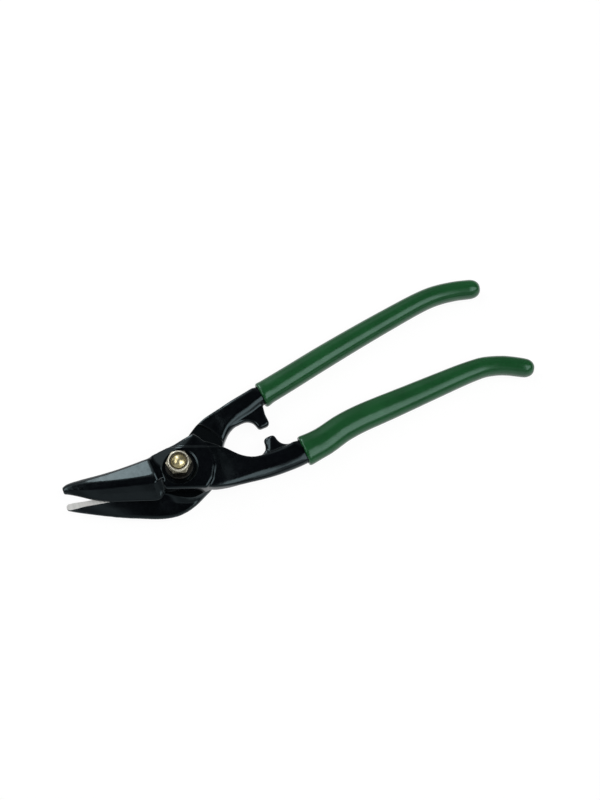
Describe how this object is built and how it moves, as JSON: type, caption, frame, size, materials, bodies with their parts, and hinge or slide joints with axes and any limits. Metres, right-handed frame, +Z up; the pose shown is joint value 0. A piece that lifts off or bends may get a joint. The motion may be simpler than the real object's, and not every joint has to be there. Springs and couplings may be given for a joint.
{
  "type": "tin snips",
  "caption": "Offset tin snips: black forged blade levers on a bolt with a locking nut and washer, stop lugs between the arms and glossy green dipped grips, lying a little open.",
  "frame": {"origin": "centre of the bolt head's flat underside, on the pivot axis; the table that the snips lie on is z = 0", "axes": "+Z up along the pivot axis towards the nut, -X towards the jaws' tips and +X towards the handles' ends, +Y towards the upper handle"},
  "size_m": [0.2834, 0.0802, 0.0294],
  "materials": {
    "upper_black_enamel": "glossy black enamel over forged steel, bare ground steel on the rubbing face",
    "lower_black_enamel": "glossy black enamel over forged steel, bare ground steel on the land of the jaw",
    "upper_green_vinyl": "glossy dipped vinyl",
    "lower_green_vinyl": "glossy dipped vinyl",
    "bolt_yellow_zinc": "smooth yellow zinc plating",
    "nut_pale_zinc": "pale yellow zinc plating",
    "lock_nylon": "satin, pale",
    "washer_steel": "dull plated steel"
  },
  "bodies": {
    "lower_half": {"lower_blade_lever": "lower_black_enamel", "upper_handle_grip": "upper_green_vinyl", "pivot_bolt": "bolt_yellow_zinc", "pivot_nut": "nut_pale_zinc", "nut_lock_ring": "lock_nylon", "nut_washer": "washer_steel"},
    "upper_half": {"upper_blade_lever": "upper_black_enamel", "lower_handle_grip": "lower_green_vinyl"}
  },
  "joints": [
    {"name": "pivot", "type": "hinge", "parent": "lower_half", "child": "upper_half", "pos_m": [0, 0, 0], "axis": [0, 0, -1], "range_deg": [-6.2, 30]}
  ]
}
